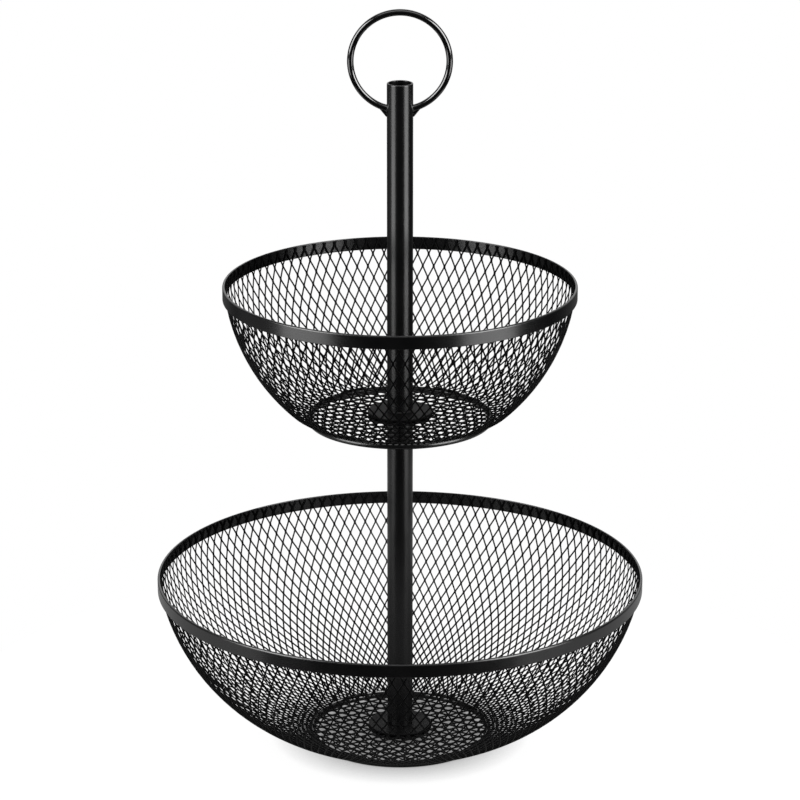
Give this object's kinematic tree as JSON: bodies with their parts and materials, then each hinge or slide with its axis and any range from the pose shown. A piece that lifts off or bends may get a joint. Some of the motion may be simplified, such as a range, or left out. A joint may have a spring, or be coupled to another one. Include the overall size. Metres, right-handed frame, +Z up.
{
  "type": "tiered wire basket",
  "caption": "Tiered fruit stand: round black expanded-mesh baskets, the larger one below, on a screwed centre post with a ring handle on top.",
  "frame": {"origin": "on the table, under the post, at the middle of the lower foot ring", "axes": "+Z up along the post; the ring handle stands in the XZ plane and faces -Y, the front"},
  "size_m": [0.305, 0.305, 0.4691],
  "materials": {
    "black_coated_steel": "satin black powder coat",
    "black_coated_mesh": "satin black powder coat on expanded mesh",
    "zinc_plated_steel": "bright zinc plate",
    "black_nylon": "moulded nylon"
  },
  "bodies": {
    "lower_tier": {"lower_rim_band": "black_coated_steel", "lower_mesh_wall": "black_coated_mesh", "lower_mesh_floor": "black_coated_mesh", "lower_foot_ring": "black_coated_steel", "lower_hub_plate": "black_coated_steel", "lower_clamp_plate": "black_coated_steel", "base_screw": "zinc_plated_steel", "lower_post_tube": "black_coated_steel", "lower_post_foot_insert": "zinc_plated_steel", "lower_post_head_insert": "zinc_plated_steel"},
    "upper_tier": {"upper_rim_band": "black_coated_steel", "upper_mesh_wall": "black_coated_mesh", "upper_mesh_floor": "black_coated_mesh", "upper_foot_ring": "black_coated_steel", "upper_hub_plate": "black_coated_steel", "upper_clamp_plate": "black_coated_steel"},
    "turning_washer": {"post_washer": "black_nylon"},
    "upper_post": {"upper_post_tube": "black_coated_steel", "upper_post_plug": "zinc_plated_steel", "joining_stud": "zinc_plated_steel", "ring_handle": "black_coated_steel", "handle_gussets": "black_coated_steel"}
  },
  "joints": [
    {"name": "upper_basket_swivel", "type": "hinge", "parent": "lower_tier", "child": "upper_tier", "pos_m": [0, 0, 0.2128], "axis": [0, 0, 1], "continuous": true},
    {"name": "upper_post_rise", "type": "slide", "parent": "lower_tier", "child": "turning_washer", "axis": [0, 0, 1], "range_m": [0, 0.01425]},
    {"name": "upper_post_turn", "type": "hinge", "parent": "turning_washer", "child": "upper_post", "pos_m": [0, 0, 0.2174], "axis": [0, 0, 1], "range_deg": [0, 5135]}
  ],
  "couplings": [
    {"joint": "upper_post_turn", "follows": "upper_post_rise", "rad_per_m": 6283.2}
  ]
}
